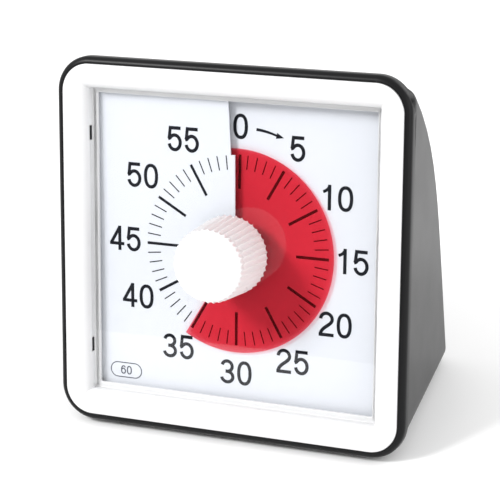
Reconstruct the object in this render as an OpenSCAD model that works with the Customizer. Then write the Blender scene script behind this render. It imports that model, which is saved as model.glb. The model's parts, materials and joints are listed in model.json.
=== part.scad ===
// Visual countdown timer: a square leaning face with a red disc that shrinks as the time runs out.
// The face is modelled in dial space: X right, Y up the face, Z towards the reader, origin at the
// centre of the dial. at_dial() places dial space in the row frame: X right, Y back, Z up, floor at 0.

/* [Case] */
// Width of the black rim across the face
rim_w = 140; // [132:1:170]
// Height of the black rim along the face
rim_h = 141.3; // [134:0.1:170]
// Corner radius of the black rim
rim_corner = 13.5; // [12:0.5:18]
// Rounding of the rim's front edge
rim_edge = 2.4; // [2:0.1:4.4]
// Lean of the face from the vertical, in degrees
lean = 13; // [10:0.5:15]
// Wall of the case
wall = 2.2; // [1.8:0.1:2.6]
// Rounding of the case's rear edges
case_edge = 6; // [5:0.5:8]
// Inward slope of each side, in mm per mm of depth
side_taper = 0.12; // [0.08:0.01:0.14]
// Height of the rubber feet
foot_h = 1.2; // [0.8:0.1:3]
// Radius of a rubber foot
foot_r = 6; // [4:0.5:7]

/* [Bezel and lens] */
// Showing width of the black rim beside the white bezel
rim_show = 2.7; // [2:0.1:3]
// Corner radius of the white bezel
bezel_corner = 10.7; // [9:0.1:13]
// Width of the window
window_w = 115.6; // [110:0.1:117]
// Height of the window
window_h = 117.4; // [112:0.1:118]
// Rounding from the bezel's flat down to the lens
bezel_round = 4; // [3:0.1:4.2]
// Width of the ledge that carries the lens
ledge_w = 2.1; // [1.5:0.1:2.5]
// Thickness of the lens
lens_t = 2; // [1.5:0.1:2]
// Length of a snap slot beside the lens
slot_l = 5.6; // [4:0.1:8]
// Height of the snap slots above and below the centre
slot_y = 41.3; // [36:0.1:46]

/* [Dial and disc] */
// Thickness of the dial card
card_t = 0.6; // [0.4:0.1:0.8]
// Thickness of the red film
film_t = 0.3; // [0.2:0.05:0.4]
// Outer radius of the red disc
film_r = 38.8; // [37.5:0.1:41]
// Rise of card and film in one turn, which lets the film pass through the card's slit
pitch = 3; // [2.6:0.1:3.2]
// Minutes that the disc shows at rest
minutes_set = 35.2; // [30:0.2:40]
// Outer end of the tick marks
tick_r = 36.4; // [35:0.1:37]
// Height of a numeral
digit_h = 9.5; // [8:0.1:10.5]
// Width of a numeral
digit_w = 5.9; // [5:0.1:6.2]
// Stroke of a numeral
digit_stroke = 1.2; // [0.8:0.1:1.3]
// Radius of the circle of numerals
digit_ring = 46.1; // [45:0.1:48]

/* [Knob and spindle] */
// Radius of the knob at its foot, over the ribs
knob_r = 15.1; // [13:0.1:17]
// Radius of the knob at its front, over the ribs
knob_front_r = 13.9; // [12:0.1:14.5]
// Height of the knob above the lens
knob_h = 22.3; // [16:0.1:26]
// Number of grip ribs
knob_ribs = 40; // [24:1:44]
// Rounding of the knob's front edge
knob_round = 2.4; // [1.5:0.1:3]
// Radius of the spindle where it carries the knob
spindle_r = 5; // [4:0.1:5.5]
// Radius of the collar that carries the disc
collar_r = 8; // [7:0.1:8.4]

/* [Movement] */
// Side of the square movement box
movement_w = 60; // [58:1:70]
// Depth of the movement box
movement_d = 15; // [15:0.5:18]
// Wall of the movement box
movement_wall = 1.2; // [1:0.1:1.4]
// Module of the gear train
gear_m = 0.3; // [0.28:0.005:0.31]
// Radius of a gear arbor
arbor_r = 0.6; // [0.5:0.05:0.7]

/* [Battery] */
// Radius of the battery
battery_r = 7.25; // [7:0.05:7.25]
// Length of the battery
battery_l = 50.5; // [48:0.1:51]
// Height of the battery door
door_h = 24; // [23:0.5:26]
// Width of the battery door
door_w = 62; // [61:0.5:66]
// Thickness of the battery door
door_t = 2; // [1.6:0.1:2]

/* [Hidden] */
$fn = 64;
gap = 0.15;                  // clearance between pieces that do not move on each other
run = 0.05;                  // radial clearance of a turning fit
seat_gap = 0.03;             // between flat faces that rest on each other
soft_gap = 0.3;              // clearance between thin moving pieces

// Layers of the face, in dial space, from the reader inwards
bezel_z = 9.8;
rim_z = bezel_z - 0.3;
rim_back_z = rim_z - 5;
lens_z = bezel_z - bezel_round - 0.3;
ledge_z = lens_z - lens_t;
frame_back_z = ledge_z - 1.5;
flange_z = bezel_z - 3;
chassis_t = 2;
chassis_z = -4.5;
movement_z = chassis_z - chassis_t;

// Sizes across the face
bezel_w = rim_w - 2 * rim_show;
bezel_h = rim_h - 2 * rim_show;
seat_inset = 2.6;            // width of the case's seat under the bezel's flange
frame_rim = 3.5;             // wall of the bezel's inner frame
lens_clip_t = 0.8;           // the lens's clips, level with its front
slot_top_z = ledge_z + lens_t + 0.5;
slot_back_z = ledge_z + lens_t - lens_clip_t - gap;
card_w = window_w - 1.6;
card_h = window_h - 1.4;
ledge_open_w = window_w - 2 * ledge_w;
ledge_open_h = window_h - 2 * ledge_w;
card_hole_r = collar_r + 1.5;
lens_hole_r = spindle_r + 4;

// Angle that the disc covers and its play at the ends of the travel
disc_angle = minutes_set * 6;
card_from = -6;
card_to = 358.5;

// Place of the face: the lowest edge of the rim is level with the underside of the case
base_drop = rim_h / 2 * cos(lean) - rim_back_z * sin(lean);
dial_z = foot_h + base_drop;
knob_foot_z = lens_z + 0.4;
knob_front_z = knob_foot_z + knob_h;
front_reach = (knob_front_z - knob_round) * cos(lean) + (knob_front_r - knob_round) * sin(lean)
  + knob_round;

// Side outline of the case behind the rim, as [back, up] of the rounding's centres from the dial
// centre: a curve from under the rim to the flat lower back, and the lower rounding
crown = [9.2, 59.8];
crown_pull = [40.5, 32];
bend = [48.6, -25.5];
bend_pull = [43.6, 6];
crown_steps = 9;
function curve_at(t) = pow(1 - t, 3) * crown + 3 * pow(1 - t, 2) * t * crown_pull
  + 3 * (1 - t) * pow(t, 2) * bend_pull + pow(t, 3) * bend;
case_line = concat(
  [for (i = [0:crown_steps]) curve_at(i / crown_steps)],
  [[54.2, case_edge - base_drop]]
);
back_foot = case_line[len(case_line) - 1];
back_bend = case_line[len(case_line) - 2];
back_lean = atan((back_foot[0] - back_bend[0]) / (back_bend[1] - back_foot[1]));
back_reach = back_foot[0] + case_edge;
dial_y = (front_reach - back_reach) / 2;

// Battery, door and switch on the flat lower back, in back space: Y up the back, Z outwards
back_in_z = case_edge - wall;
door_y = 7.4;                // hinge of the door above the lower rounding's centre
knuckle_r = 1.6;
door_pin_r = 0.8;
door_gap = 0.3;
lug_w = 3.6;
battery_y = door_y + 10.6;
battery_z = case_edge - door_t - 1 - battery_r;
cradle_wall = 1.5;
contact_room = 3;            // length at each end of the battery for its contacts
cradle_l = battery_l + 2 * contact_room;
cradle_r = battery_r + 0.5;
cradle_back_z = battery_z - cradle_r - cradle_wall;
flange_w = 5;
flange_t = 1.2;
flange_l = 12;
switch_x = rim_w / 2 - 24;
switch_y = 18;
switch_travel = 3;

// Gear train: [teeth of wheel, teeth of pinion] and places in dial space
rotor_teeth = 10;
wheel_teeth = 60;
pinion_teeth = 10;
last_pinion_teeth = 12;
output_teeth = 100;
train_step = gear_m * (wheel_teeth + pinion_teeth) / 2;
output_step = gear_m * (output_teeth + last_pinion_teeth) / 2;
bearing_c = 0;
bearing_b = -98;
bearing_a = -141;
bearing_rotor = -186;
place_c = output_step * [cos(bearing_c), sin(bearing_c)];
place_b = place_c + train_step * [cos(bearing_b), sin(bearing_b)];
place_a = place_b + train_step * [cos(bearing_a), sin(bearing_a)];
place_rotor = place_a + train_step * [cos(bearing_rotor), sin(bearing_rotor)];
wheel_t = 0.8;
pinion_t = 1.5;
level_gap = 2;
output_z = movement_z - 3.5;
wheel_c_z = output_z - level_gap;
wheel_b_z = wheel_c_z - level_gap;
wheel_a_z = wheel_b_z - level_gap;
rotor_z = wheel_a_z - level_gap;
movement_back_z = movement_z - movement_d;
front_plate_z = movement_z - movement_wall;
back_plate_z = movement_back_z + movement_wall;
drive_r = 3;                 // spindle inside the movement

// ---- places ----

module at_dial() {
  translate([0, dial_y, dial_z]) rotate([90 - lean, 0, 0]) children();
}

module at_back() {
  translate([0, dial_y + back_foot[0], dial_z + back_foot[1]])
    rotate([90 - back_lean, 0, 180]) children();
}

module both_sides() {
  children();
  mirror([1, 0, 0]) children();
}

module four_corners(x, y) {
  for (sx = [-1, 1], sy = [-1, 1]) translate([sx * x, sy * y, 0]) children();
}

// ---- plain shapes ----

module rounded_rect(w, h, r) {
  square([w - 2 * r, h], center = true);
  square([w, h - 2 * r], center = true);
  four_corners(w / 2 - r, h / 2 - r) circle(r);
}

// A cylinder from one height to another
module rod(r, from, to) {
  translate([0, 0, min(from, to)]) cylinder(r = r, h = abs(to - from));
}

// A block from one corner to the other
module block(a, b) {
  translate(a) cube(b - a);
}

function helix_z(angle) = pitch * angle / 360;

// A thin sheet on a screw surface, from one dial angle to another, clockwise from the top
module screw_sheet(r_in, r_out, from, to, thick, lift, steps) {
  step = (to - from) / steps;
  rim_points = [
    for (i = [0:steps]) let (a = from + i * step, z = helix_z(a) + lift)
      for (corner = [[r_in, -1], [r_out, -1], [r_out, 1], [r_in, 1]])
        [corner[0] * sin(a), corner[0] * cos(a), z + corner[1] * thick / 2]
  ];
  sides = [
    for (i = [0:steps - 1], k = [0:3]) let (p = 4 * i + k, q = 4 * i + (k + 1) % 4)
      each [[p, p + 4, q], [q, p + 4, q + 4]]
  ];
  last = 4 * steps;
  ends = [[0, 1, 2], [0, 2, 3], [last, last + 2, last + 1], [last, last + 3, last + 2]];
  polyhedron(points = rim_points, faces = concat(sides, ends), convexity = 6);
}

// ---- case ----

function side_half(back, up) = rim_w / 2 - side_taper * (rim_back_z + back * cos(lean) - up * sin(lean));

rim_plate_t = 0.5;           // front slice of the case that the rounding's centres are joined to
rim_tuck = 1;                // how much narrower the case is than the rim that it runs into

// Solid of the case between the rim and the floor, drawn in by the given wall
module case_form(inset) {
  hull() {
    translate([0, dial_y, dial_z])
      for (p = case_line, side = [-1, 1])
        translate([side * (side_half(p[0], p[1]) - case_edge), p[0], p[1]])
          sphere(case_edge - inset, $fn = 32);
    at_dial() translate([0, 0, rim_back_z]) linear_extrude(rim_plate_t)
      rounded_rect(rim_w - 2 * inset - rim_tuck, rim_h - 2 * inset - rim_tuck, rim_corner - inset);
  }
}

// Half outline of the rim across one side, with its rounded front edge
module rim_side(half) {
  translate([0, rim_back_z]) square([half, rim_z - rim_edge - rim_back_z]);
  translate([0, rim_back_z]) square([half - rim_edge, rim_z - rim_back_z]);
  translate([half - rim_edge, rim_z - rim_edge]) circle(rim_edge);
}

module rim_bar(half, length) {
  rotate([90, 0, 0]) translate([0, 0, -length / 2]) linear_extrude(length) {
    rim_side(half);
    mirror([1, 0]) rim_side(half);
  }
}

module rim_form() {
  at_dial() {
    four_corners(rim_w / 2 - rim_corner, rim_h / 2 - rim_corner)
      rotate_extrude() intersection() {
        rim_side(rim_corner);
        translate([0, rim_back_z]) square([rim_corner + 1, rim_z]);
      }
    rim_bar(rim_w / 2, rim_h - 2 * rim_corner);
    rotate(90) rim_bar(rim_h / 2, rim_w - 2 * rim_corner);
  }
}

module door_opening() {
  translate([-door_w / 2 - door_gap, door_y - knuckle_r - door_gap, -wall])
    cube([door_w + 2 * door_gap, door_h + 2 * door_gap, 2 * case_edge]);
}

// Bearings of the door's pins, and the stop behind the door's upper edge
module door_seat() {
  stop_top = door_y - knuckle_r + door_h;
  stop_z = case_edge - door_t - gap;
  both_sides() block([door_w / 2 + door_gap, door_y - 3, back_in_z - 2],
    [door_w / 2 + door_gap + lug_w, door_y + 4, back_in_z + wall / 2]);
  block([-door_w / 4, stop_top - 1.5, stop_z - 1.8], [door_w / 4, stop_top + 3, stop_z]);
  block([-door_w / 4, stop_top + 1, stop_z - 1.8], [door_w / 4, stop_top + 3, back_in_z + wall / 2]);
}

sound_hole_r = 1.2;
buzzer_r = 12;
buzzer_h = 7;
floor_rise = 0.36;           // the case's floor is this much above its lowest inner level there
buzzer_place = [36 - rim_w / 2, dial_y + 8, foot_h + wall + floor_rise];

module sound_holes() {
  translate([buzzer_place[0], buzzer_place[1], 0]) {
    rod(sound_hole_r, foot_h - 1, foot_h + wall + 1);
    for (a = [0:60:300]) rotate(a) translate([6, 0, 0]) rod(sound_hole_r, foot_h - 1, foot_h + wall + 1);
  }
}

module rear_case() {
  color([0.13, 0.13, 0.14]) difference() {
    union() {
      difference() {
        union() {
          case_form(0);
          rim_form();
        }
        case_form(wall);
        at_back() door_opening();
      }
      at_back() door_seat();
    }
    // Opening at the front: a seat for the bezel's flange and the way in behind it
    at_dial() translate([0, 0, flange_z])
      linear_extrude(bezel_z) rounded_rect(bezel_w + 2 * gap, bezel_h + 2 * gap, bezel_corner + gap);
    at_dial() translate([0, 0, rim_back_z - 0.2])
      linear_extrude(bezel_z)
        rounded_rect(bezel_w - 2 * seat_inset, bezel_h - 2 * seat_inset, bezel_corner - seat_inset);
    at_back() {
      translate([0, door_y, case_edge - knuckle_r]) rotate([0, 90, 0])
        rod(door_pin_r + run, -door_w / 2 - lug_w, door_w / 2 + lug_w);
      translate([switch_x, switch_y, 0])
        cube([3.6, switch_travel + 4.6, 4 * case_edge], center = true);
    }
    sound_holes();
  }
}

// Places of the feet: in from the sides, and from the dial's centre to the front and to the back
foot_front_in = 20;
foot_back_in = 26;
foot_front_y = 4;
foot_back_y = 46;

module rubber_feet() {
  color([0.08, 0.08, 0.08]) both_sides() {
    translate([rim_w / 2 - foot_front_in, dial_y - foot_front_y, 0]) rod(foot_r, 0, foot_h);
    translate([rim_w / 2 - foot_back_in, dial_y + foot_back_y, 0]) rod(foot_r, 0, foot_h);
  }
}

// ---- bezel and lens ----

// Room of the window seen along one axis: straight sides that flare out round the bezel's rounding
module window_outline(w) {
  depth = bezel_z - frame_back_z + 2;
  translate([-w / 2, frame_back_z - 1]) square([w, depth]);
  difference() {
    translate([-w / 2 - bezel_round, bezel_z - bezel_round]) square([w + 2 * bezel_round, bezel_round + 1]);
    for (side = [-1, 1])
      translate([side * (w / 2 + bezel_round), bezel_z - bezel_round]) circle(bezel_round);
  }
}

module window_room() {
  intersection() {
    rotate([90, 0, 0]) translate([0, 0, -rim_h]) linear_extrude(2 * rim_h) window_outline(window_w);
    rotate([90, 0, 90]) translate([0, 0, -rim_w]) linear_extrude(2 * rim_w) window_outline(window_h);
    translate([0, 0, ledge_z]) linear_extrude(bezel_z) square(2 * rim_w, center = true);
  }
}

boss_x = window_w / 2 + 2.2;
boss_y = 46;
boss_r = 2.6;
screw_r = 1.2;
head_r = 2.3;
head_t = 1.4;
clip_y = 25;
clip_l = 12;
clip_t = 1.5;
clip_reach = 0.9;
clip_x = bezel_w / 2 - seat_inset - 0.3;

module bezel_clip() {
  translate([clip_x - clip_t, -clip_l / 2, -2]) cube([clip_t, clip_l, flange_z + 2]);
  translate([clip_x - 0.1, -clip_l / 2, rim_back_z - 2.9])
    cube([clip_reach + 0.4, clip_l, 1.8]);
}

module bezel() {
  color([0.95, 0.95, 0.95]) at_dial() difference() {
    union() {
      translate([0, 0, flange_z])
        linear_extrude(bezel_z - flange_z) rounded_rect(bezel_w, bezel_h, bezel_corner);
      translate([0, 0, frame_back_z]) linear_extrude(bezel_z - frame_back_z)
        rounded_rect(window_w + 2 * frame_rim, window_h + 2 * frame_rim, 5);
      four_corners(boss_x, boss_y) rod(boss_r, chassis_z, flange_z);
      for (y = [-clip_y, clip_y]) translate([0, y, 0]) both_sides() bezel_clip();
    }
    window_room();
    translate([0, 0, frame_back_z - 1])
      linear_extrude(lens_t + 4) square([ledge_open_w, ledge_open_h], center = true);
    four_corners(boss_x, boss_y) rod(screw_r - 0.1, chassis_z - 1, flange_z - 2);
    for (y = [-slot_y, slot_y]) translate([0, y, 0]) both_sides()
      translate([window_w / 2 - 0.1, -slot_l / 2, slot_back_z])
        cube([frame_rim + 1, slot_l, slot_top_z - slot_back_z]);
  }
}

module lens() {
  color([0.85, 0.9, 0.95, 0.25]) at_dial() difference() {
    union() {
      translate([0, 0, ledge_z]) linear_extrude(lens_t)
        square([window_w - 2 * gap, window_h - 2 * gap], center = true);
      for (y = [-slot_y, slot_y]) translate([0, y, 0]) both_sides()
        translate([window_w / 2 - 1, -slot_l / 2 + gap, slot_back_z + gap])
          cube([1.6, slot_l - 2 * gap, lens_clip_t]);
    }
    rod(lens_hole_r, ledge_z - 1, lens_z + 1);
  }
}

// ---- dial ----

card_lift = -pitch / 2;
print_t = 0.1;
print_reach = 10.5;          // a number reaches this far past its middle, in degrees of the rising card
print_z = card_lift + card_t / 2 + helix_z(print_reach);

module dial_card() {
  color([0.94, 0.95, 0.97]) at_dial() intersection() {
    screw_sheet(card_hole_r, 90, card_from, card_to, card_t, card_lift, 72);
    cube([card_w, card_h, 4 * pitch], center = true);
  }
}

// Angle of a place on the face, clockwise from the top
function dial_angle(p) = (atan2(p[0], p[1]) + 360) % 360;

// Ink that lies on the card at the given dial angle
module ink_at(angle) {
  translate([0, 0, print_z + helix_z(angle)]) linear_extrude(print_t) children();
}

major_tick = [1.05, 12.9];
minor_tick = [0.34, 5.4];

// One tick a minute; the first stands just past the slit
module dial_ticks() {
  color([0.14, 0.15, 0.17]) at_dial()
    for (minute = [0:59]) let (size = minute % 5 == 0 ? major_tick : minor_tick)
      ink_at(minute * 6 + (minute == 0 ? 0.6 : 0)) rotate(-minute * 6)
        translate([minute == 0 ? 0 : -size[0] / 2, tick_r - size[1]]) square(size);
}

function arc_points(c, rx, ry, from, to, n) = [
  for (i = [0:n]) let (a = from + (to - from) * i / n) c + [rx * cos(a), ry * sin(a)]
];

// A stroke of even width along a row of points
module stroke(points, w) {
  n = len(points) - 1;
  side = [
    for (i = [0:n]) let (d = points[min(i + 1, n)] - points[max(i - 1, 0)]) w / 2 * [-d[1], d[0]] / norm(d)
  ];
  polygon(concat(
    [for (i = [0:n]) points[i] + side[i]],
    [for (i = [n:-1:0]) points[i] - side[i]]
  ));
}

half_w = (digit_w - digit_stroke) / 2;
half_h = (digit_h - digit_stroke) / 2;

module digit_0() {
  difference() {
    polygon(arc_points([0, 0], digit_w / 2, digit_h / 2, 0, 350, 35));
    polygon(arc_points([0, 0], half_w - digit_stroke / 2, half_h - digit_stroke / 2, 0, 350, 35));
  }
}

module digit_1() {
  x = half_w * 0.35;
  translate([x - digit_stroke / 2, -digit_h / 2]) square([digit_stroke, digit_h]);
  flag = [[-2.2, -2.2], [-1.2, -1.6], [-0.5, -0.8], [0, 0.3]];
  stroke([for (p = flag) [x, half_h] + p], digit_stroke * 0.85);
}

module digit_2() {
  r = half_w;
  top = half_h - r;
  stroke(concat(
    arc_points([0, top], r, r, 172, -20, 16),
    [[r * 0.62, top - r * 0.75], [-r * 0.35, -half_h + r * 1.05]],
    [[-r * 0.85, -half_h + r * 0.45], [-r, -half_h]]
  ), digit_stroke);
  translate([-digit_w / 2, -digit_h / 2]) square([digit_w, digit_stroke]);
}

module digit_3() {
  top_r = half_h * 0.48;
  low_r = half_h - top_r;
  stroke(concat(
    arc_points([0, half_h - top_r], half_w * 0.92, top_r, 160, -80, 16),
    [[-half_w * 0.3, half_h - 2 * top_r]]
  ), digit_stroke);
  stroke(concat(
    [[-half_w * 0.2, half_h - 2 * top_r]],
    arc_points([0, low_r - half_h], half_w, low_r, 82, -162, 16)
  ), digit_stroke);
}

module digit_4() {
  x = half_w * 0.5;
  bar = -half_h * 0.48;
  translate([x - digit_stroke / 2, -digit_h / 2]) square([digit_stroke, digit_h]);
  translate([-digit_w / 2, bar - digit_stroke / 2]) square([digit_w, digit_stroke]);
  stroke([[-half_w * 1.02, bar], [x, half_h]], digit_stroke);
}

module digit_5() {
  r = half_w;
  low = -half_h + r * 1.16;
  translate([-half_w * 0.75, half_h - digit_stroke / 2]) square([half_w * 1.65, digit_stroke]);
  stroke([[-half_w * 0.72, half_h + digit_stroke / 2], [-half_w * 0.98, low + r * 0.62]], digit_stroke);
  stroke(concat(
    [[-half_w * 0.98, low + r * 0.62]],
    arc_points([0, low], r, r * 1.16, 128, -162, 20)
  ), digit_stroke);
}

module digit(value) {
  if (value == 0) digit_0();
  if (value == 1) digit_1();
  if (value == 2) digit_2();
  if (value == 3) digit_3();
  if (value == 4) digit_4();
  if (value == 5) digit_5();
}

digit_step = digit_w + 1.1;

module number(value) {
  if (value < 10) digit(value);
  if (value >= 10) {
    translate([-digit_step / 2, 0]) digit(floor(value / 10));
    translate([digit_step / 2, 0]) digit(value % 10);
  }
}

pill_place = [-46, -51.6];
pill_w = 13;
pill_h = 5.8;
pill_line = 0.35;

// Minutes, and how far each number stands from its place on the ring
number_shifts = [
  [5, 0.5, 0.7], [10, -1, 0.2], [15, -0.7, 0.1], [20, -0.5, -1.1], [25, -0.2, -0.4], [30, -0.1, -1],
  [35, -0.8, 0.3], [40, -0.7, 1.7], [45, 0.3, 0.7], [50, 1.7, 2.7], [55, 1.7, 0.9]
];

module dial_numerals() {
  color([0.14, 0.15, 0.17]) at_dial() {
    for (p = number_shifts)
      let (place = digit_ring * [sin(p[0] * 6), cos(p[0] * 6)] + [p[1], p[2]])
        ink_at(dial_angle(place)) translate(place) number(p[0]);
    ink_at(3) translate([1.2, digit_ring + 1.5]) number(0);
    // Arrow that shows which way the knob is turned
    ink_at(15) translate([12.6, 45.3]) rotate(-19) {
      translate([-5.6, -0.2]) square([8, 0.4]);
      polygon([[2.2, 1.3], [5.8, 0], [2.2, -1.3]]);
    }
    // Outlined label with the full time
    ink_at(222) translate(pill_place) {
      difference() {
        rounded_rect(pill_w, pill_h, pill_h / 2 - 0.1);
        rounded_rect(pill_w - 2 * pill_line, pill_h - 2 * pill_line, pill_h / 2 - 0.1 - pill_line);
      }
      translate([-1.3, 0]) difference() {
        polygon(arc_points([0, 0], 1.3, 1.7, 0, 340, 17));
        polygon(arc_points([0, 0], 0.9, 1.3, 0, 340, 17));
      }
    }
  }
}

// ---- disc, spindle and knob ----

module red_disc() {
  color([0.82, 0.13, 0.18]) at_dial()
    screw_sheet(collar_r + gap, film_r, disc_angle - 359, disc_angle, film_t, 0, 120);
}

collar_top_z = ledge_z - soft_gap;
collar_back_z = chassis_z + soft_gap;
neck_z = movement_z - 1;
knob_bore_z = knob_foot_z + 14;

module spindle() {
  color([0.8, 0.8, 0.78]) at_dial() {
    rod(spindle_r, collar_top_z - 1, knob_bore_z);
    rod(collar_r, collar_back_z, collar_top_z);
    rod(drive_r, movement_back_z + 0.4, collar_back_z + 1);
    rod(drive_r + 1.6, front_plate_z - 0.9, front_plate_z - 0.2);
  }
}

// Ribbed outline of the knob at its foot
module knob_outline() {
  n = knob_ribs * 6;
  depth = 0.42;
  polygon([
    for (i = [0:n - 1]) let (a = i * 360 / n, r = knob_r - depth + depth * cos(knob_ribs * a))
      r * [cos(a), sin(a)]
  ]);
}

module knob() {
  color([0.97, 0.97, 0.97]) at_dial() difference() {
    intersection() {
      translate([0, 0, knob_foot_z])
        linear_extrude(knob_h, scale = knob_front_r / knob_r) knob_outline();
      rotate_extrude() {
        translate([0, knob_foot_z]) square([knob_r + 1, knob_h - knob_round]);
        square([knob_front_r - knob_round, knob_front_z]);
        translate([knob_front_r - knob_round, knob_front_z - knob_round]) circle(knob_round);
        polygon([[0, knob_foot_z], [knob_r + 1, knob_foot_z], [knob_front_r, knob_front_z - knob_round],
          [0, knob_front_z - knob_round]]);
      }
    }
    rod(spindle_r + 0.02, knob_foot_z - 1, knob_bore_z);
  }
}

// ---- chassis and movement ----

chassis_w = 2 * (boss_x + boss_r + 0.6);
chassis_top = 53;
chassis_foot = -58;
movement_screw_at = movement_w / 2 - 4;

module chassis_plate() {
  color([0.2, 0.2, 0.22]) at_dial() difference() {
    translate([0, 0, movement_z]) linear_extrude(chassis_t)
      translate([0, (chassis_top + chassis_foot) / 2])
        rounded_rect(chassis_w, chassis_top - chassis_foot, 4);
    rod(drive_r + 1, movement_z - 1, chassis_z + 1);
    four_corners(boss_x, boss_y) rod(screw_r + gap, movement_z - 1, chassis_z + 1);
    four_corners(movement_screw_at, movement_screw_at) rod(screw_r - 0.1, movement_z - 1, chassis_z - 0.3);
  }
}

module screw(top_z, length) {
  rod(head_r, top_z - head_t, top_z);
  rod(screw_r - 0.12, top_z - 0.1, top_z + length);
}

module chassis_screws() {
  color([0.75, 0.75, 0.77]) at_dial() four_corners(boss_x, boss_y) screw(movement_z, 8);
}

module movement_screws() {
  color([0.75, 0.75, 0.77]) at_dial()
    four_corners(movement_screw_at, movement_screw_at) screw(movement_back_z, movement_d + chassis_t - 0.5);
}

module arbor_holes(from, to) {
  for (p = [place_a, place_b, place_c, place_rotor]) translate(p) rod(arbor_r + run, from, to);
}

module screw_ways() {
  four_corners(movement_screw_at, movement_screw_at)
    rod(screw_r + gap, movement_back_z - 1, movement_z + 1);
}

module screw_posts(from, to) {
  four_corners(movement_screw_at, movement_screw_at) rod(screw_r + 1.4, from, to);
}

module movement_base() {
  color([0.85, 0.85, 0.83]) at_dial() difference() {
    union() {
      translate([0, 0, movement_back_z]) linear_extrude(movement_d - movement_wall)
        difference() {
          rounded_rect(movement_w, movement_w, 3);
          rounded_rect(movement_w - 2 * movement_wall, movement_w - 2 * movement_wall, 2);
        }
      translate([0, 0, movement_back_z]) linear_extrude(movement_wall)
        rounded_rect(movement_w, movement_w, 3);
      screw_posts(movement_back_z, front_plate_z);
    }
    rod(drive_r + run, movement_back_z - 1, back_plate_z + 1);
    arbor_holes(movement_back_z + 0.3, back_plate_z + 1);
    screw_ways();
    translate([-30, 20, back_plate_z + 1.2]) cube([2 * movement_wall + 0.1, 4, 2]);
  }
}

module movement_cover() {
  color([0.8, 0.8, 0.78]) at_dial() difference() {
    translate([0, 0, front_plate_z]) linear_extrude(movement_wall) rounded_rect(movement_w, movement_w, 3);
    rod(drive_r + run, front_plate_z - 1, movement_z + 1);
    arbor_holes(front_plate_z - 1, movement_z - 0.3);
    screw_ways();
  }
}

// Outline of a spur gear whose first tooth points along X
module gear_outline(teeth) {
  r_tip = gear_m * (teeth / 2 + 0.75);
  r_root = gear_m * (teeth / 2 - 1.15);
  tooth = 360 / teeth;
  polygon([
    for (i = [0:teeth - 1], k = [[r_root, -0.23], [r_tip, -0.085], [r_tip, 0.085], [r_root, 0.23]])
      k[0] * [cos((i + k[1]) * tooth), sin((i + k[1]) * tooth)]
  ]);
}

module gear(teeth, turn, z, thick) {
  rotate(turn) translate([0, 0, z - thick / 2]) linear_extrude(thick) gear_outline(teeth);
}

// Turn of a gear that meshes with another one, seen from that one along the given bearing
function mesh_turn(bearing, turn, teeth, next_teeth) =
  bearing + 180 - 180 / next_teeth + (bearing - turn) * teeth / next_teeth;

output_turn = 0;
pinion_c_turn = mesh_turn(bearing_c, output_turn, output_teeth, last_pinion_teeth);
pinion_b_turn = mesh_turn(bearing_b, pinion_c_turn, wheel_teeth, pinion_teeth);
pinion_a_turn = mesh_turn(bearing_a, pinion_b_turn, wheel_teeth, pinion_teeth);
rotor_turn = mesh_turn(bearing_rotor, pinion_a_turn, wheel_teeth, rotor_teeth);

module arbor() {
  rod(arbor_r, movement_back_z + 0.5, movement_z - 0.5);
}

module wheel_and_pinion(place, turn, wheel_z, pinion, pinion_z) {
  translate(place) {
    gear(wheel_teeth, turn, wheel_z, wheel_t);
    gear(pinion, turn, pinion_z, pinion_t);
    rod(arbor_r + 0.35, wheel_z, pinion_z);
    arbor();
  }
}

module output_wheel() {
  color([0.9, 0.88, 0.8]) at_dial() difference() {
    union() {
      gear(output_teeth, output_turn, output_z, wheel_t + 0.2);
      rod(drive_r + 1.8, output_z - 1.2, output_z);
    }
    rod(drive_r + run, output_z - 3, output_z + 3);
  }
}

module wheel_c() {
  color([0.9, 0.9, 0.86]) at_dial()
    wheel_and_pinion(place_c, pinion_c_turn, wheel_c_z, last_pinion_teeth, output_z);
}

module wheel_b() {
  color([0.88, 0.88, 0.84]) at_dial()
    wheel_and_pinion(place_b, pinion_b_turn, wheel_b_z, pinion_teeth, wheel_c_z);
}

module wheel_a() {
  color([0.86, 0.86, 0.82]) at_dial()
    wheel_and_pinion(place_a, pinion_a_turn, wheel_a_z, pinion_teeth, wheel_b_z);
}

magnet_r = 2.6;

module rotor() {
  color([0.3, 0.3, 0.32]) at_dial() translate(place_rotor) {
    gear(rotor_teeth, rotor_turn, wheel_a_z, pinion_t);
    rod(magnet_r, rotor_z - 0.8, rotor_z + 0.6);
    rod(arbor_r + 0.3, rotor_z, wheel_a_z);
    arbor();
  }
}

module clutch_spring() {
  color([0.7, 0.7, 0.7]) at_dial() difference() {
    rod(drive_r + 1.4, output_z + wheel_t / 2 + 0.15, front_plate_z - 0.95);
    rod(drive_r + run, output_z, front_plate_z);
  }
}

stator_t = 0.8;
stator_z = back_plate_z;
coil_y = 8;
coil_l = 20;
coil_r = 3.2;
coil_x = -16;

module stator() {
  color([0.55, 0.56, 0.58]) at_dial() difference() {
    translate([0, 0, stator_z]) linear_extrude(stator_t) union() {
      translate([coil_x - 3, place_rotor[1] - 4.5]) square([place_rotor[0] - coil_x + 9, 9]);
      translate([coil_x - 3, place_rotor[1] - 4.5]) square([6, coil_y + coil_l / 2 + 4 - place_rotor[1]]);
    }
    translate(place_rotor) rod(magnet_r + 0.5, stator_z - 1, stator_z + 2);
  }
}

module coil() {
  flange = 1;
  color([0.72, 0.42, 0.2]) at_dial()
    translate([coil_x, coil_y - coil_l / 2, stator_z + stator_t + gap + coil_r]) rotate([-90, 0, 0]) {
      rod(coil_r, flange, coil_l - flange);
      rod(coil_r + gap, 0, flange);
      rod(coil_r + gap, coil_l - flange, coil_l);
    }
}

board_t = 1;
board_at = [-11, 7];
board_size = [32, 16];
crystal_at = [4, 18];
crystal_r = 1;
crystal_l = 6;

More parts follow.
